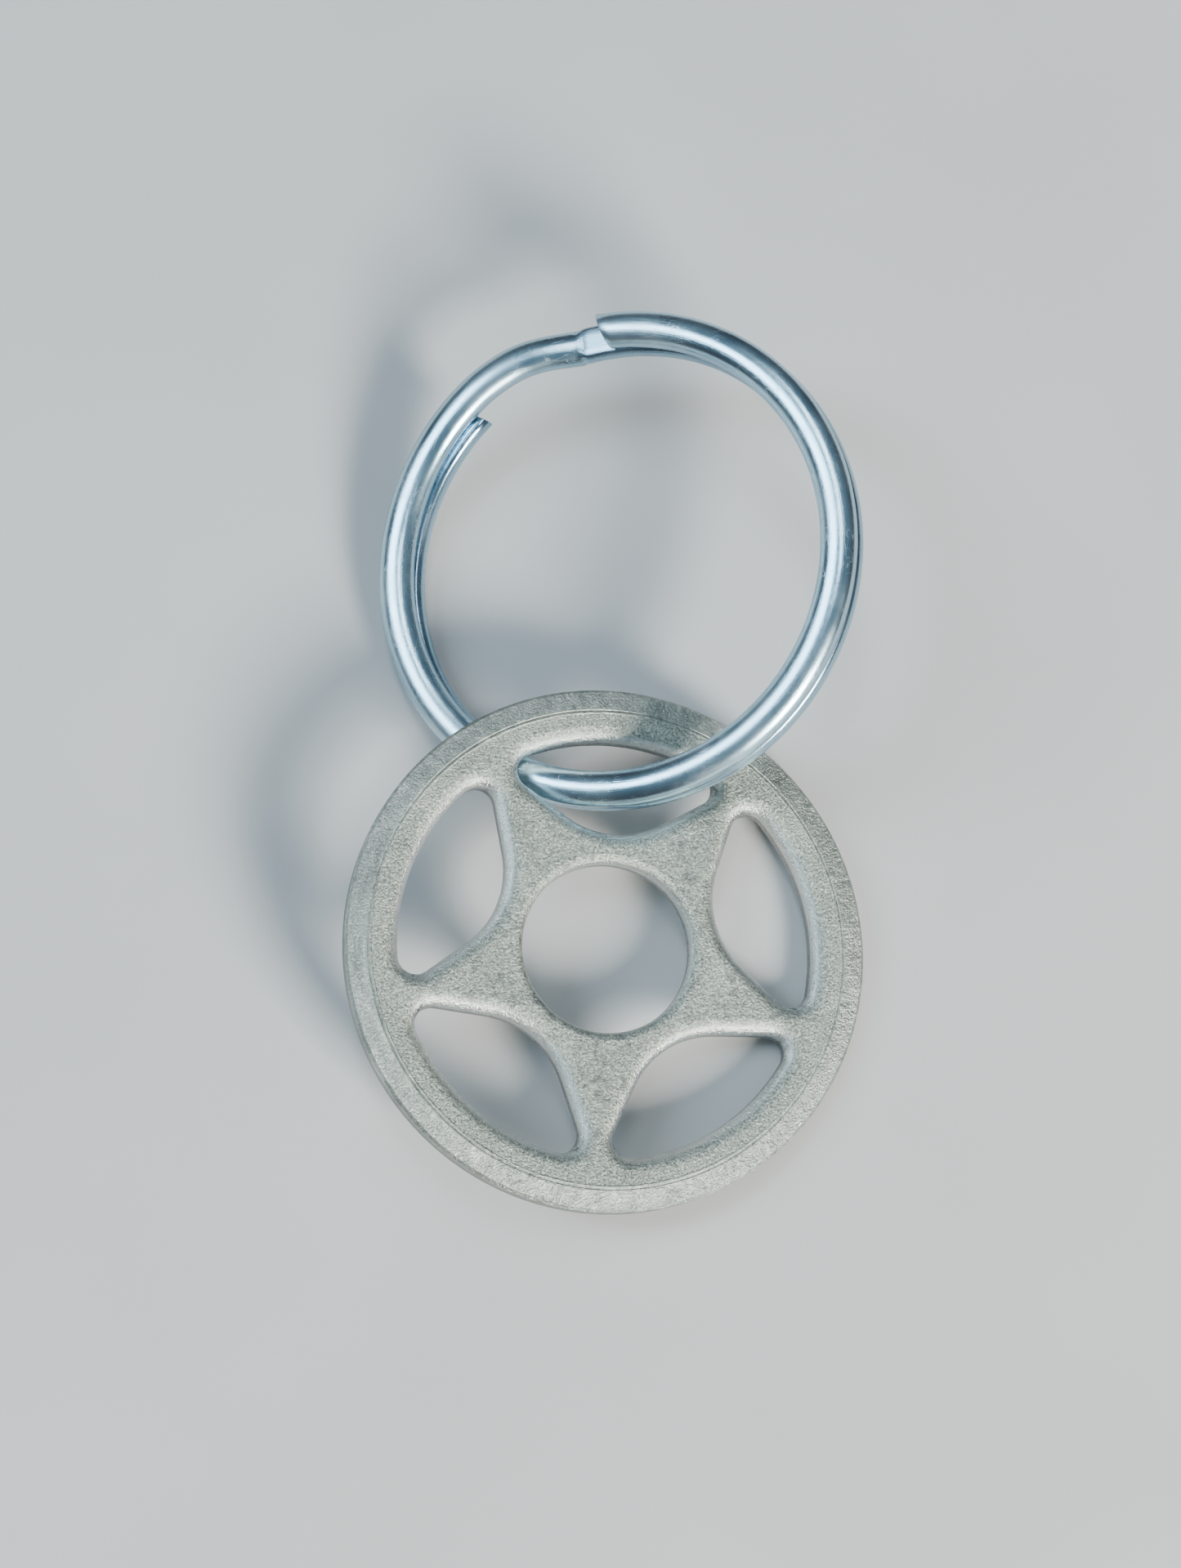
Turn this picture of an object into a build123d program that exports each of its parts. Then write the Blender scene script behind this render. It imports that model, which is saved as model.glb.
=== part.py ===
from build123d import *
import os
from math import cos, pi, radians, sin, sqrt

# Split key ring with a spoked disc threaded on its two turns.  All sizes are millimetres.
# Row frame: both pieces rest on the plane z = 0, the ring at +Y and the disc at -Y.

# ---- split ring ----
ring_radius = 13.975              # circle of the wire's middle
wire_width = 2.20                 # round wire, pressed flat where the turns meet
turn_thickness = 1.45             # one turn, from the flat to the crown
flat_width = 1.50                 # the flat along the seam
widest_height = 0.60              # the wire is widest this far from the flat
seam_gap = 0.04                   # the two turns bear on each other along the seam
upper_end_angle = 90.0            # ring angle where the upper turn is cut off
lower_end_angle = 131.0           # ring angle where the lower turn is cut off
end_slant = 20.0                  # the ends are sheared at this angle to the radius
crossover_low_angle = 96.0        # the flat on top of the lower turn ends here
crossover_roll_angle = 98.5       # past this short step the wire lies crown up
crossover_high_angle = 128.0      # from here the wire is wholly in the upper turn
upper_cut_angle = 320.0           # the sprung end of the upper turn starts here
lower_cut_angle = 225.0           # the sprung end of the lower turn starts here
bend_in_start = 40.0              # the lower turn bends inward from here to the crossover
bend_in = 0.25
bend_out = 0.20                   # the crossover swings as far outward, over this angle
bend_out_angle = 116.0
bend_out_end = 165.0              # and is back on the ring's circle here
lower_end_bend = 0.38             # the lower turn's free end is sprung inward
section_spacing = 3.0             # degrees between the drawn sections of a bent stretch
end_allowance = 6.0               # each end is drawn this many degrees long, then sheared off
shear_block = (8.0, 6.0, 8.0)     # the block that shears it off

# ---- disc ----
disc_diameter = 30.8
disc_bore_radius = 5.0
ridge_radius = 13.9               # crisp ridge between the rim band and the dished face
ridge_height = 1.70               # disc thickness at the ridge
edge_height = 1.44                # the rim band falls from the ridge to the edge
hub_height = 1.46                 # the dished face falls from the ridge to the bore
dish_sag = 0.05                   # the dished face is slightly hollow
groove_radius = 14.1              # fine turned line just outside the ridge
groove_width = 0.14
groove_depth = 0.05
lower_edge_chamfer = 0.22
upper_edge_round = 0.16
window_count = 5
window_first_angle = 87.0
window_apex_radius = 6.85         # the nearest point of a window to the centre
window_outer_radius = 12.3        # concentric outer side of a window
window_bow_radius = 5.4           # the inner side bows round this arc
window_side_slope = 32.0          # and leaves it in straight sides at this slope
window_corner_radius = 1.05
window_edge_round = 0.90          # broad soft edges of the windows on the face
bore_edge_round = 0.50            # and of the bore
back_edge_round = 0.15            # and on the back
radius_margin = 0.1               # spare radius when the edges of an opening are picked

# ---- rest pose: each piece leans on the other where the ring runs through a window ----
ring_tilt = 20.84                 # left side down
ring_lean = 5.80                  # far side up
ring_x = 0.60
ring_y = 11.80
ring_height = 6.578               # ring centre above the table
disc_tilt = 11.52                 # right side down
disc_lean = 3.06                  # far side up
disc_spin = 0.34                  # one window points at the ring
disc_x = 0.19
disc_y = -11.38
disc_height = 4.797               # centre of the ridge plane above the table

disc_radius = disc_diameter / 2
turn_shift = turn_thickness + seam_gap

ring_pose = Pos(ring_x, ring_y, ring_height) * Rot(0, -ring_tilt, 0) * Rot(ring_lean, 0, 0)
disc_pose = Pos(disc_x, disc_y, disc_height) * Rot(0, disc_tilt, 0) * Rot(disc_lean, 0, disc_spin)


def ease(value, start, end):
    """0 before the start, 1 past the end, and smooth between them."""
    part = min(1, max(0, (value - start) / (end - start)))
    return (1 - cos(pi * part)) / 2


def quarter(start, corner, end):
    """Control points of a quarter ellipse that starts and ends square to the sides of its corner."""
    pull = 4 / 3 * (sqrt(2) - 1)
    return [
        start,
        (start[0] + pull * (corner[0] - start[0]), start[1] + pull * (corner[1] - start[1])),
        (end[0] + pull * (corner[0] - end[0]), end[1] + pull * (corner[1] - end[1])),
        end,
    ]


def flat_down_section():
    """The wire with its underside flat at height 0: six edges, anticlockwise from the middle of the flat."""
    half = wire_width / 2
    flat = flat_width / 2
    top = turn_thickness
    side = widest_height
    return [
        [(0, 0), (flat, 0)],
        quarter((flat, 0), (half, 0), (half, side)),
        quarter((half, side), (half, top), (0, top)),
        quarter((0, top), (-half, top), (-half, side)),
        quarter((-half, side), (-half, 0), (-flat, 0)),
        [(-flat, 0), (0, 0)],
    ]


def flat_up_section():
    """The same wire the other way up, its six edges again anticlockwise from the middle of its underside."""
    turned = [[(-x, turn_thickness - y) for x, y in edge] for edge in flat_down_section()]
    half = len(turned) // 2
    return turned[half:] + turned[:half]


def section_face(angle, base, flat_down, bend=0.0):
    """The wire's section at a ring angle, its underside at the base height, bent outward by so much."""
    section = flat_down_section() if flat_down else flat_up_section()
    middle = ring_radius + bend
    outline = Wire([Bezier(*[(middle + x, base + y) for x, y in edge]) for edge in section])
    return Rot(0, 0, angle) * Rot(90, 0, 0) * Face(outline)


lower_base = -seam_gap / 2 - turn_thickness
upper_base = seam_gap / 2


def turn(first_angle, last_angle, upper):
    """A plain arc of one turn, from the first angle anticlockwise to the last."""
    face = section_face(first_angle, upper_base if upper else lower_base, flat_down=upper)
    return revolve(face, Axis.Z, last_angle - first_angle, clean=False)


def bent_stretch(first_angle, last_angle, base_at, bend_at, flat_down):
    """A stretch of wire whose height and bend follow the ring angle."""
    count = round((last_angle - first_angle) / section_spacing)
    angles = [first_angle + index * (last_angle - first_angle) / count for index in range(count + 1)]
    return loft([section_face(a, base_at(a), flat_down, bend_at(a)) for a in angles], clean=False)


def crossover_base(angle):
    """Height of the wire's underside as it climbs from the lower turn into the upper turn."""
    part = (angle - crossover_low_angle) / (crossover_high_angle - crossover_low_angle)
    return lower_base + turn_shift * sin(pi / 2 * min(1, max(0, part)))


def body_bend(angle):
    """The body bends inward below the upper end and swings outward where it crosses over."""
    inward = bend_in * ease(angle, bend_in_start, crossover_low_angle)
    swing = (bend_in + bend_out) * ease(angle, crossover_low_angle, bend_out_angle)
    settle = bend_out * ease(angle, bend_out_angle, bend_out_end)
    return swing - inward - settle


def lower_end_spring(angle):
    """The lower end springs further inward towards its free end."""
    return -lower_end_bend * ease(angle, lower_cut_angle, lower_end_angle)


def shear(angle, side):
    """A block whose face is the sheared end at a ring angle.

    side is 1 to remove what lies past the angle and -1 to remove what lies before it.
    """
    block = Pos(0, side * shear_block[1] / 2, 0) * Box(*shear_block)
    return Rot(0, 0, angle) * Pos(ring_radius, 0, 0) * Rot(0, 0, end_slant) * block


# ---- split ring, one wire in three stretches: the body and its two sprung ends ----
step = loft([
    section_face(crossover_low_angle, lower_base, False, body_bend(crossover_low_angle)),
    section_face(
        crossover_roll_angle, crossover_base(crossover_roll_angle), True, body_bend(crossover_roll_angle)
    ),
], clean=False)
ring_body_wire = turn(lower_cut_angle - 360, bend_in_start, upper=False).fuse(
    bent_stretch(bend_in_start, crossover_low_angle, lambda angle: lower_base, body_bend, False),
    step,
    bent_stretch(crossover_roll_angle, bend_out_end, crossover_base, body_bend, True),
    turn(bend_out_end, upper_cut_angle, upper=True),
)

ring_upper_end = turn(upper_cut_angle - 360, upper_end_angle + end_allowance, upper=True)
ring_upper_end = ring_upper_end.cut(shear(upper_end_angle, 1))

ring_lower_end = bent_stretch(
    lower_end_angle - end_allowance, lower_cut_angle, lambda angle: lower_base, lower_end_spring, False
)
ring_lower_end = ring_lower_end.cut(shear(lower_end_angle, -1))


# ---- disc ----
def disc_blank():
    """The solid disc, z = 0 at the ridge."""
    back = -ridge_height
    hub_top = hub_height - ridge_height
    edge_top = edge_height - ridge_height
    slope = edge_top / (disc_radius - ridge_radius)
    groove_in = groove_radius - groove_width / 2
    groove_out = groove_radius + groove_width / 2
    dish_middle = ((disc_bore_radius + ridge_radius) / 2, hub_top / 2 - dish_sag)
    profile = Curve() + [
        Line((disc_bore_radius, back), (disc_bore_radius, hub_top)),
        ThreePointArc((disc_bore_radius, hub_top), dish_middle, (ridge_radius, 0)),
        Line((ridge_radius, 0), (groove_in, slope * (groove_in - ridge_radius))),
        Line(
            (groove_in, slope * (groove_in - ridge_radius)),
            (groove_radius, slope * (groove_radius - ridge_radius) - groove_depth),
        ),
        Line(
            (groove_radius, slope * (groove_radius - ridge_radius) - groove_depth),
            (groove_out, slope * (groove_out - ridge_radius)),
        ),
        Line(
            (groove_out, slope * (groove_out - ridge_radius)),
            (disc_radius - upper_edge_round, edge_top - slope * upper_edge_round),
        ),
        Line(
            (disc_radius - upper_edge_round, edge_top - slope * upper_edge_round),
            (disc_radius, edge_top - upper_edge_round),
        ),
        Line((disc_radius, edge_top - upper_edge_round), (disc_radius, back + lower_edge_chamfer)),
        Line((disc_radius, back + lower_edge_chamfer), (disc_radius - lower_edge_chamfer, back)),
        Line((disc_radius - lower_edge_chamfer, back), (disc_bore_radius, back)),
    ]
    return revolve(Rot(90, 0, 0) * make_face(profile), Axis.Z, 360)


def window_cutter():
    """The outline of one window centred on +Y, as a prism through the disc."""
    slope = radians(window_side_slope)
    bow_x = window_bow_radius * sin(slope)
    bow_y = window_apex_radius + window_bow_radius * (1 - cos(slope))
    half_b = bow_x * cos(slope) + bow_y * sin(slope)
    side = -half_b + sqrt(half_b**2 + window_outer_radius**2 - bow_x**2 - bow_y**2)
    corner_x = bow_x + side * cos(slope)
    corner_y = bow_y + side * sin(slope)
    outline = Curve() + [
        ThreePointArc((-bow_x, bow_y), (0, window_apex_radius), (bow_x, bow_y)),
        Line((bow_x, bow_y), (corner_x, corner_y)),
        ThreePointArc((corner_x, corner_y), (0, window_outer_radius), (-corner_x, corner_y)),
        Line((-corner_x, corner_y), (-bow_x, bow_y)),
    ]
    face = make_face(outline)
    corners = face.vertices().sort_by(Axis.Y)[-2:]
    face = fillet(corners, window_corner_radius)
    return extrude(face, amount=2 * ridge_height, both=True)


def opening_edges(solid, on_face, inner, outer):
    """Edges of the openings that lie between two radii, on the face or on the back."""
    chosen = []
    for edge in solid.edges():
        height = edge.position_at(0.5).Z
        reach = max(Vector(p.X, p.Y, 0).length for p in (edge.position_at(k / 4) for k in range(5)))
        flat = abs(edge.position_at(0).Z - edge.position_at(1).Z) < ridge_height / 2
        level = height > -ridge_height / 2 if on_face else height < -ridge_height / 2
        if flat and level and inner < reach < outer:
            chosen.append(edge)
    return chosen


spoked_disc = disc_blank()
for index in range(window_count):
    turn_angle = window_first_angle - 90 + index * 360 / window_count
    spoked_disc -= Rot(0, 0, turn_angle) * window_cutter()
bore_reach = disc_bore_radius + radius_margin
window_reach = window_outer_radius + radius_margin
spoked_disc = fillet(opening_edges(spoked_disc, True, bore_reach, window_reach), window_edge_round)
spoked_disc = fillet(opening_edges(spoked_disc, True, 0, bore_reach), bore_edge_round)
spoked_disc = fillet(opening_edges(spoked_disc, False, 0, window_reach), back_edge_round)

# ---- write the nodes in their rest pose ----
nodes = {
    "ring_body_wire": ring_pose * ring_body_wire,
    "ring_upper_end": ring_pose * ring_upper_end,
    "ring_lower_end": ring_pose * ring_lower_end,
    "spoked_disc": disc_pose * spoked_disc,
}
os.makedirs("parts", exist_ok=True)
for name, shape in nodes.items():
    export_step(shape, f"parts/{name}.step")
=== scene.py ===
import math

import bmesh
import bpy
from mathutils import Matrix, Vector


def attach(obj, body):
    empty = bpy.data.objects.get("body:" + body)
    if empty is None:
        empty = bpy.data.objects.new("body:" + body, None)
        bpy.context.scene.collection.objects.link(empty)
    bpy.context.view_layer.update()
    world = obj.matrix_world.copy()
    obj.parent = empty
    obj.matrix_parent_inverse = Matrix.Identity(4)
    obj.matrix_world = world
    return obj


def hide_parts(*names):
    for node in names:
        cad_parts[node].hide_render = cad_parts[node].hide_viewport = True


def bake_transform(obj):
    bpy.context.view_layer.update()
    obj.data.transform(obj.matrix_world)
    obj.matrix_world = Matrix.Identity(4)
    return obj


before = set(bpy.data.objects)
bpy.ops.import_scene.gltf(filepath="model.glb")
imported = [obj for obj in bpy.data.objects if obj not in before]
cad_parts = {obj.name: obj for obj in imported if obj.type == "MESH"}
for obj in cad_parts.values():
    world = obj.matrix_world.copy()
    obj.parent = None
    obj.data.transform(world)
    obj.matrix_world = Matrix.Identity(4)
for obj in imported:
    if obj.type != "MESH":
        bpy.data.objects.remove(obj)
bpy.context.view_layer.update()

MM = 0.001

# ---- the part's own dimensions, in millimetres and degrees ----
RING_RADIUS = 13.975
WIRE_WIDTH = 2.20
TURN = 1.45
FLAT_WIDTH = 1.50
WIDEST_HEIGHT = 0.60
SEAM = 0.04
UPPER_END = 90.0
LOWER_END = 131.0
END_SLANT = 20.0
CROSS_LOW = 96.0
CROSS_ROLL = 98.5
CROSS_HIGH = 128.0
UPPER_CUT = 320.0
LOWER_CUT = 225.0
BEND_IN_START = 40.0
BEND_IN = 0.25
BEND_OUT = 0.20
BEND_OUT_ANGLE = 116.0
BEND_OUT_END = 165.0
LOWER_END_BEND = 0.38
SKIN_INSET = 0.004
END_BEVEL = 0.05
RING_POSE = dict(tilt=-20.84, lean=5.80, spin=0.0, at=(0.60, 11.80, 6.578))

RIDGE_RADIUS = 13.9
DISH_SLOPE = 0.24 / 8.9
DISC_THICKNESS = 1.70
FIRST_WINDOW = 87.0
WINDOW_COUNT = 5
WINDOW_CORNER = (6.55, 10.15)
DISC_POSE = dict(tilt=11.52, lean=3.06, spin=0.34, at=(0.19, -11.38, 4.797))


def placing(tilt, lean, spin, at):
    """The matrix that lays a piece modelled flat into its rest pose, in metres."""
    turn = (
        Matrix.Rotation(math.radians(tilt), 4, "Y")
        @ Matrix.Rotation(math.radians(lean), 4, "X")
        @ Matrix.Rotation(math.radians(spin), 4, "Z")
    )
    return Matrix.Translation(Vector(at) * MM) @ turn @ Matrix.Scale(MM, 4)


RING_PLACE = placing(**RING_POSE)
DISC_PLACE = placing(**DISC_POSE)


# ---- node helpers ----
class Nodes:
    """A short way to build a node tree."""

    def __init__(self, name):
        self.material = bpy.data.materials.new(name)
        self.material.use_nodes = True
        self.tree = self.material.node_tree
        self.tree.nodes.clear()
        self.shader = self.add("ShaderNodeBsdfPrincipled")
        out = self.add("ShaderNodeOutputMaterial")
        self.join(self.shader.outputs["BSDF"], out.inputs["Surface"])

    def add(self, kind):
        return self.tree.nodes.new(kind)

    def join(self, source, target):
        self.tree.links.new(source, target)

    def math(self, operation, a, b=None, c=None):
        node = self.add("ShaderNodeMath")
        node.operation = operation
        for index, value in enumerate((a, b, c)):
            if value is None:
                continue
            if isinstance(value, (int, float)):
                node.inputs[index].default_value = value
            else:
                self.join(value, node.inputs[index])
        return node.outputs[0]

    def length(self, x, y):
        squares = self.math("ADD", self.math("MULTIPLY", x, x), self.math("MULTIPLY", y, y))
        return self.math("SQRT", squares)

    def stored(self, name):
        """The three numbers stored per point under this name, and the whole vector."""
        source = self.add("ShaderNodeAttribute")
        source.attribute_name = name
        split = self.add("ShaderNodeSeparateXYZ")
        self.join(source.outputs["Vector"], split.inputs[0])
        return split.outputs[0], split.outputs[1], split.outputs[2], source.outputs["Vector"]

    def vector(self, x, y, z):
        node = self.add("ShaderNodeCombineXYZ")
        for index, value in enumerate((x, y, z)):
            if isinstance(value, (int, float)):
                node.inputs[index].default_value = value
            else:
                self.join(value, node.inputs[index])
        return node.outputs[0]

    def ramp(self, value, stops):
        node = self.add("ShaderNodeValToRGB")
        node.color_ramp.interpolation = "EASE"
        while len(node.color_ramp.elements) < len(stops):
            node.color_ramp.elements.new(0.5)
        for element, (place, colour) in zip(node.color_ramp.elements, stops):
            element.position = place
            element.color = (*colour, 1)
        self.join(value, node.inputs["Fac"])
        return node.outputs["Color"]

    def span(self, value, low, high, to_low=0.0, to_high=1.0):
        """The value carried smoothly from one range to another, and held at its ends."""
        node = self.add("ShaderNodeMapRange")
        node.interpolation_type = "SMOOTHSTEP"
        for index, setting in enumerate((low, high, to_low, to_high), start=1):
            node.inputs[index].default_value = setting
        self.join(value, node.inputs[0])
        return node.outputs[0]

    def mix(self, factor, a, b, blend="MIX"):
        node = self.add("ShaderNodeMix")
        node.data_type = "RGBA"
        node.blend_type = blend
        for socket, value in ((node.inputs[0], factor), (node.inputs[6], a), (node.inputs[7], b)):
            if isinstance(value, (int, float)):
                socket.default_value = value
            elif isinstance(value, tuple):
                socket.default_value = (*value, 1)
            else:
                self.join(value, socket)
        return node.outputs[2]

    def noise(self, vector, scale, detail=2.0, rough=0.5, distortion=0.0):
        node = self.add("ShaderNodeTexNoise")
        node.inputs["Scale"].default_value = scale
        node.inputs["Detail"].default_value = detail
        node.inputs["Roughness"].default_value = rough
        node.inputs["Distortion"].default_value = distortion
        self.join(vector, node.inputs["Vector"])
        return node.outputs["Fac"]

    def lines(self, value, width):
        """Thin lines where a noise crosses its middle value: 1 on the line, 0 away from it."""
        away = self.math("ABSOLUTE", self.math("SUBTRACT", value, 0.5))
        return self.math("MAXIMUM", self.math("SUBTRACT", 1.0, self.math("DIVIDE", away, width)), 0.0)

    def bump(self, height, strength, distance):
        node = self.add("ShaderNodeBump")
        node.inputs["Strength"].default_value = strength
        node.inputs["Distance"].default_value = distance
        self.join(height, node.inputs["Height"])
        self.join(node.outputs["Normal"], self.shader.inputs["Normal"])


# Bluish plating tones that vary at random; their blue is partly a painted reflection of the blue sky.
PLATING_AND_SKY_TINTS = [
    (0.28, (0.38, 0.58, 0.70)),
    (0.52, (0.48, 0.685, 0.80)),
    (0.78, (0.61, 0.79, 0.88)),
]
# Painted dark reflection: the wire is darker on its lower sides towards the seam and lightest on the
# crown.
PAINTED_REFLECTION_SEAM_TO_CROWN = [
    (0.0, (0.62, 0.64, 0.68)),
    (0.45, (0.78, 0.81, 0.85)),
    (1.0, (1.0, 1.0, 1.0)),
]
PIT_COLOUR = (0.20, 0.20, 0.26)
SCRATCH_COLOUR = (0.86, 0.90, 0.94)


def plated_wire():
    """Bright zinc plating: mirror bright, with fine wear scratches along the wire. Its blue is partly a
    painted sky reflection, and it is darkened towards the seam as a painted dark reflection.

    The stored wire coordinate is (way up the section, -1 at the seam to 1 on the crown;
    distance along the wire in mm; distance round the section in mm).
    """
    n = Nodes("plated_wire")
    up, along, around, place = n.stored("wire")
    cloud = n.noise(place, 0.22, 4.0, 0.6)
    lengthwise = n.vector(n.math("MULTIPLY", around, 9.0), n.math("MULTIPLY", along, 0.30), 0.0)
    drawn = n.noise(lengthwise, 1.6, 3.0, 0.6)
    pits = n.noise(place, 5.5, 3.0, 0.65)
    patches = n.noise(place, 0.55, 2.0, 0.5)
    along_rub = n.vector(n.math("MULTIPLY", around, 0.9), n.math("MULTIPLY", along, 0.25), 0.0)
    rubs = n.lines(n.noise(along_rub, 3.4, 1.0), 0.012)
    scratch = n.math("MULTIPLY", rubs, n.span(patches, 0.50, 0.64))
    # plating tone with part of a painted sky reflection in its blue
    tint = n.ramp(cloud, PLATING_AND_SKY_TINTS)
    # painted dark reflection, darker towards the seam
    side = n.ramp(n.span(up, -1.0, 0.6), PAINTED_REFLECTION_SEAM_TO_CROWN)
    tint = n.mix(1.0, tint, side, "MULTIPLY")
    dark_pit = n.span(pits, 0.36, 0.28)
    tint = n.mix(n.math("MULTIPLY", dark_pit, 0.30), tint, PIT_COLOUR)
    tint = n.mix(n.math("MULTIPLY", scratch, 0.40), tint, SCRATCH_COLOUR)
    n.join(tint, n.shader.inputs["Base Color"])
    n.shader.inputs["Metallic"].default_value = 1.0
    rough = n.math("ADD", n.span(cloud, 0.3, 0.7, 0.17, 0.29), n.math("MULTIPLY", scratch, 0.14))
    n.join(n.math("ADD", rough, n.math("MULTIPLY", drawn, 0.06)), n.shader.inputs["Roughness"])
    height = n.math("ADD", n.math("MULTIPLY", drawn, 0.45), n.math("MULTIPLY", pits, 0.30))
    height = n.math("SUBTRACT", height, n.math("MULTIPLY", scratch, 0.2))
    n.bump(height, 0.22, 0.00006)
    return n.material


STEEL_TINTS = [
    (0.25, (0.27, 0.295, 0.265)),
    (0.5, (0.345, 0.375, 0.335)),
    (0.8, (0.445, 0.475, 0.43)),
]
GRAIN_TINTS = [
    (0.33, (0.42, 0.42, 0.43)),
    (0.50, (1.0, 1.0, 1.0)),
    (0.67, (1.9, 1.9, 1.85)),
]
GROUND_TINTS = [
    (0.32, (0.20, 0.215, 0.20)),
    (0.52, (0.38, 0.41, 0.375)),
    (0.72, (0.70, 0.73, 0.67)),
]
STAIN_COLOUR = (0.11, 0.12, 0.125)
# Painted highlight on the rounded window edges.
PAINTED_EDGE_HIGHLIGHT = (0.88, 0.91, 0.88)
# Painted shade on the window walls.
WALL_SHADE_COLOUR = (0.20, 0.20, 0.195)
BURR_COLOUR = (0.09, 0.09, 0.085)
STROKES_ROUND = 92.0


def blasted_steel():
    """Warm grey steel, bead blasted, its rim band ground in short radial strokes.

    The stored disc coordinate is the place in the disc lying flat, in mm. Its height shows how
    far a point is below the dished face: a little on the rounded window edges, which are lightened as a
    painted highlight, more on the walls, which are darkened as painted shade.
    """
    n = Nodes("blasted_steel")
    x, y, z, place = n.stored("disc")
    radius = n.length(x, y)
    grain = n.noise(place, 7.0, 3.0, 0.70)
    coarse = n.noise(place, 2.6, 2.0, 0.6)
    cloud = n.noise(place, 0.20, 4.0, 0.6)
    blotch = n.noise(place, 0.75, 3.0, 0.62)
    angle = n.math("ARCTAN2", y, x)
    around = n.math("MULTIPLY", n.math("SINE", n.math("MULTIPLY", angle, 0.5)), STROKES_ROUND / 2)
    stroke_place = n.vector(around, n.math("MULTIPLY", radius, 0.8), n.math("COSINE", angle))
    strokes = n.noise(stroke_place, 1.5, 4.0, 0.7, 0.4)
    band = n.span(radius, RIDGE_RADIUS - 0.03, RIDGE_RADIUS + 0.05)
    dish = n.math("MULTIPLY", n.math("SUBTRACT", radius, RIDGE_RADIUS), DISH_SLOPE)
    below = n.math("SUBTRACT", dish, z)
    not_back = n.span(z, 0.04 - DISC_THICKNESS, 0.15 - DISC_THICKNESS)
    inside_ridge = n.span(radius, RIDGE_RADIUS - 0.3, RIDGE_RADIUS - 0.6)
    # rounded window edges: lightened there as a painted highlight, and made smoother
    soft_edge = n.math("MULTIPLY", n.span(below, 0.08, 0.30), inside_ridge)
    soft_edge = n.math("MULTIPLY", soft_edge, not_back)
    wall_shade = n.math("MULTIPLY", n.span(below, 0.75, 1.0), not_back)
    from_window = n.math("SUBTRACT", angle, math.radians(FIRST_WINDOW))
    fold = n.math("PINGPONG", from_window, math.pi / WINDOW_COUNT)
    corner_x = n.math("SUBTRACT", n.math("MULTIPLY", radius, n.math("SINE", fold)), WINDOW_CORNER[0])
    corner_y = n.math("SUBTRACT", n.math("MULTIPLY", radius, n.math("COSINE", fold)), WINDOW_CORNER[1])
    reach = n.length(corner_x, corner_y)
    burr = n.math("MULTIPLY", n.span(reach, 1.0, 0.5), n.span(coarse, 0.38, 0.58))
    burr = n.math("MULTIPLY", n.math("MULTIPLY", burr, not_back), n.span(below, 0.12, 0.45))
    warm = n.ramp(cloud, STEEL_TINTS)
    speck = n.ramp(grain, GRAIN_TINTS)
    base = n.mix(0.85, warm, speck, "MULTIPLY")
    stain = n.math("MULTIPLY", n.span(blotch, 0.55, 0.68), n.span(radius, 12.6, 10.5))
    base = n.mix(n.math("MULTIPLY", stain, 0.55), base, STAIN_COLOUR)
    ground = n.ramp(strokes, GROUND_TINTS)
    base = n.mix(n.math("MULTIPLY", band, 0.60), base, ground)
    # painted highlight: the rounded window edges are lightened
    base = n.mix(n.math("MULTIPLY", soft_edge, 0.75), base, PAINTED_EDGE_HIGHLIGHT)
    # painted shade: the window walls are darkened
    base = n.mix(n.math("MULTIPLY", wall_shade, 0.75), base, WALL_SHADE_COLOUR)
    base = n.mix(n.math("MULTIPLY", burr, 0.75), base, BURR_COLOUR)
    n.join(base, n.shader.inputs["Base Color"])
    n.shader.inputs["Metallic"].default_value = 1.0
    rough = n.math("ADD", 0.38, n.math("MULTIPLY", coarse, 0.16))
    rough = n.math("SUBTRACT", rough, n.math("MULTIPLY", soft_edge, 0.17))
    n.join(n.math("SUBTRACT", rough, n.math("MULTIPLY", band, 0.04)), n.shader.inputs["Roughness"])
    height = n.math("ADD", n.math("MULTIPLY", grain, 1.0), n.math("MULTIPLY", coarse, 0.40))
    height = n.math("ADD", height, n.math("MULTIPLY", n.math("MULTIPLY", strokes, band), 0.9))
    n.bump(height, 0.80, 0.00010)
    return n.material


# ---- ring skins ----
QUARTER_STEPS = 4
CROWN_STEPS = 9
FLAT_STEPS = 2


def ease(value, start, end):
    """0 before the start, 1 past the end, and smooth between them."""
    part = min(1.0, max(0.0, (value - start) / (end - start)))
    return (1 - math.cos(math.pi * part)) / 2


def half_outline():
    """Right half of the section lying flat down: middle of the flat, widest point, top of the crown."""
    half = WIRE_WIDTH / 2
    flat = FLAT_WIDTH / 2
    points = [(flat * k / FLAT_STEPS, 0.0) for k in range(FLAT_STEPS)]
    for k in range(QUARTER_STEPS):
        a = math.radians(90 * k / QUARTER_STEPS)
        points.append((flat + (half - flat) * math.sin(a), WIDEST_HEIGHT * (1 - math.cos(a))))
    for k in range(CROWN_STEPS + 1):
        a = math.radians(90 * k / CROWN_STEPS)
        points.append((half * math.cos(a), WIDEST_HEIGHT + (TURN - WIDEST_HEIGHT) * math.sin(a)))
    return points


def whole_section():
    """Points round the section lying flat down, anticlockwise, drawn in by the skin's small inset."""
    right = half_outline()
    left = [(-x, y) for x, y in reversed(right[1:-1])]
    inset = 1 - SKIN_INSET / (WIRE_WIDTH / 2)
    middle = TURN / 2
    return [(x * inset, middle + (y - middle) * inset) for x, y in right + left]


FLAT_DOWN = whole_section()
FLAT_UP = [(-x, TURN - y) for x, y in FLAT_DOWN]
FLAT_UP = FLAT_UP[len(FLAT_UP) // 2:] + FLAT_UP[:len(FLAT_UP) // 2]


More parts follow.
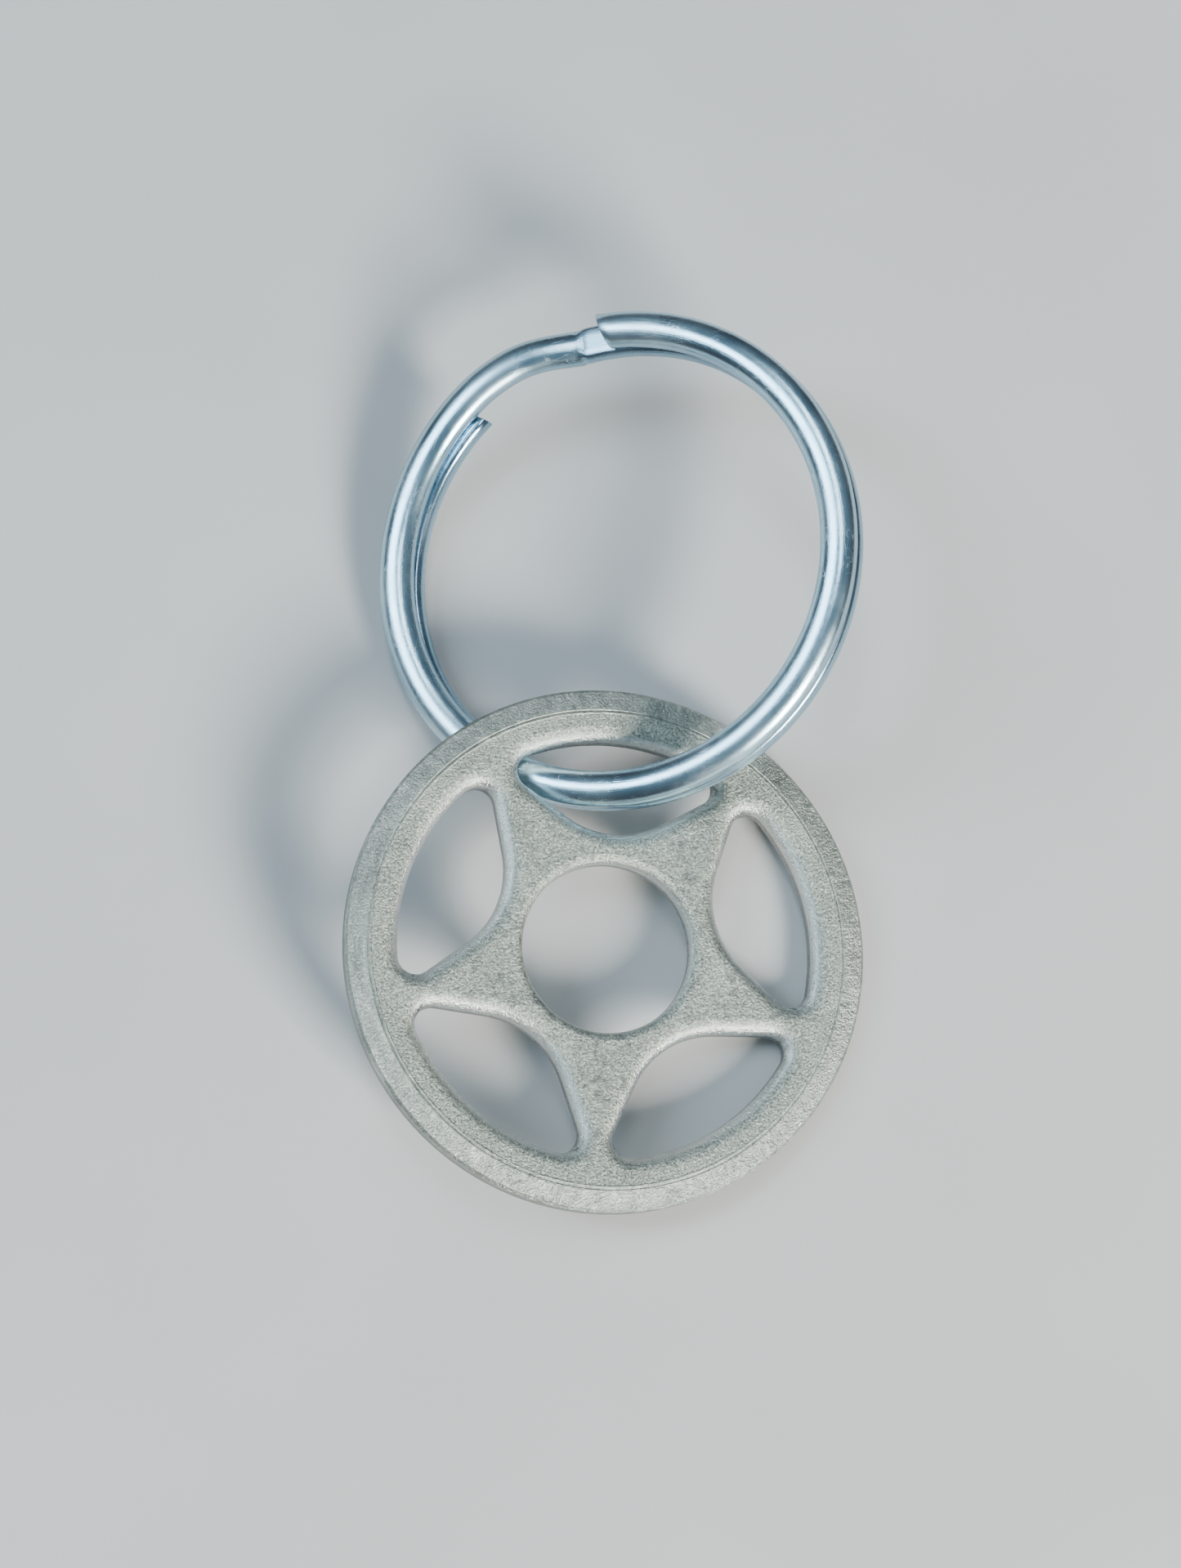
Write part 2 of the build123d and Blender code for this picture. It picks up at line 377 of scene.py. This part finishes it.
def section_rolled(roll):
    """The section between crown down (roll 0) and crown up (roll 1)."""
    return [
        (low[0] + roll * (high[0] - low[0]), low[1] + roll * (high[1] - low[1]))
        for low, high in zip(FLAT_UP, FLAT_DOWN)
    ]


def body_at(angle):
    """The body at an unrolled ring angle: its underside's height, how far it is crown up, its bend."""
    climb = min(1.0, max(0.0, (angle - CROSS_LOW) / (CROSS_HIGH - CROSS_LOW)))
    base = -SEAM / 2 - TURN + (TURN + SEAM) * math.sin(math.pi / 2 * climb)
    roll = min(1.0, max(0.0, (angle - CROSS_LOW) / (CROSS_ROLL - CROSS_LOW)))
    inward = BEND_IN * ease(angle, BEND_IN_START, CROSS_LOW)
    swing = (BEND_IN + BEND_OUT) * ease(angle, CROSS_LOW, BEND_OUT_ANGLE)
    settle = BEND_OUT * ease(angle, BEND_OUT_ANGLE, BEND_OUT_END)
    return base, roll, swing - inward - settle


def upper_end_at(angle):
    """The upper end lies flat, crown up, all along; the numbers are those of body_at."""
    return SEAM / 2, 1.0, 0.0


def lower_end_at(angle):
    """The lower end lies crown down and springs inwards towards its tip."""
    return -SEAM / 2 - TURN, 0.0, -LOWER_END_BEND * ease(angle, LOWER_CUT, LOWER_END)


def skin(name, angles, wire, unrolled=0.0, sheared_row=None):
    """A closed tube through the wire's sections, with its wire coordinate stored per point.

    unrolled is added to the angle in that coordinate, so that it runs on from stretch to stretch.
    sheared_row is the index of the row that is a real cut end of the wire: it slants,
    and a narrow bevel is worn round it.
    """
    slant = math.tan(math.radians(END_SLANT))
    mesh = bpy.data.meshes.new(name)
    bm = bmesh.new()
    stored = []
    rows = []
    toward = 0.0
    if sheared_row is not None:
        toward = 1.0 if sheared_row else -1.0
    for index, angle in enumerate(angles):
        base, roll, bent = wire(angle)
        crown_up = 2 * roll - 1
        along = math.radians(angle + unrolled) * RING_RADIUS
        row = []
        near_cut = sheared_row is not None and abs(index - sheared_row) <= 1
        is_cut = sheared_row is not None and index == sheared_row
        around = 0.0
        last = None
        for px, py in section_rolled(roll):
            around += math.dist(last, (px, py)) if last else 0.0
            last = (px, py)
            if is_cut:
                shrink = 1 - END_BEVEL / (WIRE_WIDTH / 2)
                px, py = px * shrink, TURN / 2 + (py - TURN / 2) * shrink
            r = RING_RADIUS + bent + px
            bend = math.radians(angle)
            if near_cut:
                bend = math.radians(angles[sheared_row]) + slant * px / r
                if not is_cut:
                    bend -= toward * END_BEVEL / r
            row.append(bm.verts.new((r * math.cos(bend), r * math.sin(bend), base + py)))
            stored.append((crown_up * (2 * py / TURN - 1), along, around))
        rows.append(row)
    count = len(rows[0])
    for first, second in zip(rows, rows[1:]):
        for k in range(count):
            face = bm.faces.new((first[k], second[k], second[(k + 1) % count], first[(k + 1) % count]))
            face.smooth = True
    for row in (rows[0], list(reversed(rows[-1]))):
        cap = bm.faces.new(row)
        cap.smooth = False
        for edge in cap.edges:
            edge.smooth = False
    bmesh.ops.recalc_face_normals(bm, faces=bm.faces)
    bm.to_mesh(mesh)
    bm.free()
    coordinate = mesh.attributes.new("wire", "FLOAT_VECTOR", "POINT")
    for index, value in enumerate(stored):
        coordinate.data[index].vector = value
    mesh.transform(RING_PLACE)
    obj = bpy.data.objects.new(name, mesh)
    bpy.context.scene.collection.objects.link(obj)
    return obj


def spread(first, last, step=1.0):
    """Angles from first to last, about a step apart."""
    count = max(2, int(round(abs(last - first) / step)))
    return [first + (last - first) * k / count for k in range(count + 1)]


TURN_ROUND = 360
ROLL_STEP = 0.5
CUT_ROOM = 3
BEVEL_ROW = 0.2

body_angles = spread(LOWER_CUT - TURN_ROUND, CROSS_LOW)
body_angles += spread(CROSS_LOW, CROSS_ROLL, ROLL_STEP)[1:]
body_angles += spread(CROSS_ROLL, UPPER_CUT)[1:]
upper_angles = spread(UPPER_CUT - TURN_ROUND, UPPER_END - CUT_ROOM)
upper_angles += [UPPER_END - BEVEL_ROW, UPPER_END]
lower_angles = [LOWER_END, LOWER_END + BEVEL_ROW]
lower_angles += spread(LOWER_END + CUT_ROOM, LOWER_CUT)

body_skin = skin("ring_body_skin", body_angles, body_at)
upper_skin = skin(
    "ring_upper_end_skin", upper_angles, upper_end_at,
    unrolled=TURN_ROUND, sheared_row=len(upper_angles) - 1,
)
lower_skin = skin(
    "ring_lower_end_skin", lower_angles, lower_end_at,
    unrolled=-TURN_ROUND, sheared_row=0,
)

plating = plated_wire()
blasted = blasted_steel()
for piece in (body_skin, upper_skin, lower_skin):
    piece.data.materials.append(plating)


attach(body_skin, "split_ring")
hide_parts("ring_body_wire")
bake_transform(upper_skin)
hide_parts("ring_upper_end")
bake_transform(lower_skin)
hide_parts("ring_lower_end")

# ---- disc: the CAD node keeps its shape, with its flat disc coordinate stored per point ----
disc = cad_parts["spoked_disc"]
flat = DISC_PLACE.inverted()
flat_place = disc.data.attributes.new("disc", "FLOAT_VECTOR", "POINT")
for index, vertex in enumerate(disc.data.vertices):
    flat_place.data[index].vector = flat @ vertex.co
disc.data.materials.clear()
disc.data.materials.append(blasted)

# ---- camera: above the disc's side, looking down at the ring ----
LENS = 73.607
SENSOR_WIDTH = 36.0
NEAREST = 5 * MM
CAMERA_AT = Vector((-0.978, -53.755, 186.245)) * MM
CAMERA_LOOK = Vector((0.0004, 0.2762, -0.9611))
CAMERA_UP = Vector((0.0003, 0.9611, 0.2762))


def aim_camera():
    data = bpy.data.cameras.new("camera")
    data.lens = LENS
    data.sensor_width = SENSOR_WIDTH
    data.clip_start = NEAREST
    camera = bpy.data.objects.new("camera", data)
    bpy.context.scene.collection.objects.link(camera)
    look = CAMERA_LOOK.normalized()
    right = look.cross(CAMERA_UP).normalized()
    up = right.cross(look).normalized()
    columns = Matrix((right, up, -look)).transposed()
    camera.matrix_world = Matrix.Translation(CAMERA_AT) @ columns.to_4x4()
    bpy.context.scene.camera = camera


aim_camera()


# ---- floor ----
FLOOR_TONES = [
    (0.3, (0.50, 0.50, 0.495)),
    (0.7, (0.53, 0.53, 0.525)),
]
FLOOR_HALF = 1.2
FLOOR_DROP = 0.02 * MM


def floor():
    n = Nodes("pale_floor")
    coord = n.add("ShaderNodeTexCoord").outputs["Object"]
    tone = n.ramp(n.noise(coord, 40.0, 3.0), FLOOR_TONES)
    n.join(tone, n.shader.inputs["Base Color"])
    n.shader.inputs["Roughness"].default_value = 0.85
    mesh = bpy.data.meshes.new("floor")
    bm = bmesh.new()
    bmesh.ops.create_grid(bm, x_segments=8, y_segments=8, size=FLOOR_HALF)
    bm.to_mesh(mesh)
    bm.free()
    mesh.materials.append(n.material)
    obj = bpy.data.objects.new("floor", mesh)
    obj.location.z = -FLOOR_DROP
    bpy.context.scene.collection.objects.link(obj)


floor()


# ---- lights ----
def soft_light(name, at, size, power, colour):
    """An area light that faces the part, placed and sized in metres."""
    data = bpy.data.lights.new(name, "AREA")
    data.shape = "RECTANGLE"
    data.size, data.size_y = size
    data.energy = power
    data.color = colour
    obj = bpy.data.objects.new(name, data)
    obj.location = at
    obj.rotation_euler = (-Vector(at)).to_track_quat("-Z", "Y").to_euler()
    bpy.context.scene.collection.objects.link(obj)


soft_light("key", (0.36, -0.48, 0.36), (0.20, 0.20), 11.5, (1.0, 0.98, 0.92))
soft_light("sky", (-0.46, 0.08, 0.50), (0.22, 0.40), 3.2, (0.66, 0.86, 1.0))
soft_light("overhead", (-0.04, 0.16, 0.54), (0.08, 0.30), 0.9, (0.80, 0.92, 1.0))

HORIZON = (0.30, (0.17, 0.155, 0.17))
ZENITH = (0.95, (0.30, 0.45, 0.57))
SKY_STRENGTH = 0.50


def sky():
    """A dim room: warm grey low down, pale blue overhead."""
    world = bpy.data.worlds.new("world")
    world.use_nodes = True
    nodes = world.node_tree.nodes
    join = world.node_tree.links.new
    backdrop = nodes["Background"]
    heading = nodes.new("ShaderNodeTexCoord")
    split = nodes.new("ShaderNodeSeparateXYZ")
    shade = nodes.new("ShaderNodeValToRGB")
    for element, (place, colour) in zip(shade.color_ramp.elements, (HORIZON, ZENITH)):
        element.position = place
        element.color = (*colour, 1)
    join(heading.outputs["Generated"], split.inputs[0])
    join(split.outputs["Z"], shade.inputs["Fac"])
    join(shade.outputs["Color"], backdrop.inputs["Color"])
    backdrop.inputs["Strength"].default_value = SKY_STRENGTH
    bpy.context.scene.world = world


sky()
